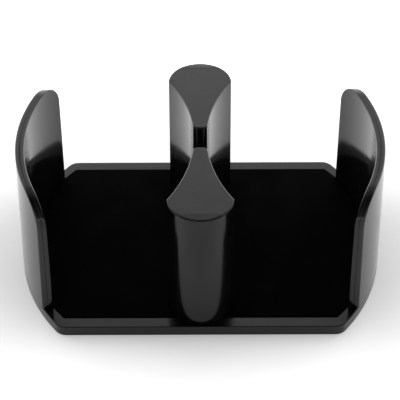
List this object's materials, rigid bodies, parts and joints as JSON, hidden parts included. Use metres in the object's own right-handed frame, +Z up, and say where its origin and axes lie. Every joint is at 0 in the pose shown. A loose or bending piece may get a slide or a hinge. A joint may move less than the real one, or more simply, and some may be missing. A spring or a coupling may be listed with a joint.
{
  "type": "twin desk cup holder",
  "caption": "Black plastic twin cup holder: shallow tray with curved side walls, waisted posts between the two bays and a lift-out mat.",
  "frame": {"origin": "on the desk, under the centre of the tray", "axes": "+X to the right across the two bays, +Y to the back, +Z up"},
  "size_m": [0.167, 0.114, 0.0685],
  "materials": {
    "shell_gloss": "gloss black ABS",
    "tray_plastic": "semi-gloss black ABS",
    "cap_satin": "satin black ABS",
    "mat_rubber": "deep matte black",
    "foot_rubber": "matte black",
    "screw_steel": "zinc plated"
  },
  "bodies": {
    "holder": {"base_tray": "tray_plastic", "left_wall": "shell_gloss", "right_wall": "shell_gloss", "front_post": "shell_gloss", "rear_post": "shell_gloss", "front_post_cap": "cap_satin", "rear_post_cap": "cap_satin", "post_screws": "screw_steel", "wall_screws": "screw_steel", "front_left_foot": "foot_rubber", "front_right_foot": "foot_rubber", "rear_left_foot": "foot_rubber", "rear_right_foot": "foot_rubber"},
    "mat": {"floor_mat": "mat_rubber"}
  },
  "joints": [
    {"name": "mat_lift", "type": "slide", "parent": "holder", "child": "mat", "axis": [0, 0, 1], "range_m": [0, 0.064]}
  ]
}
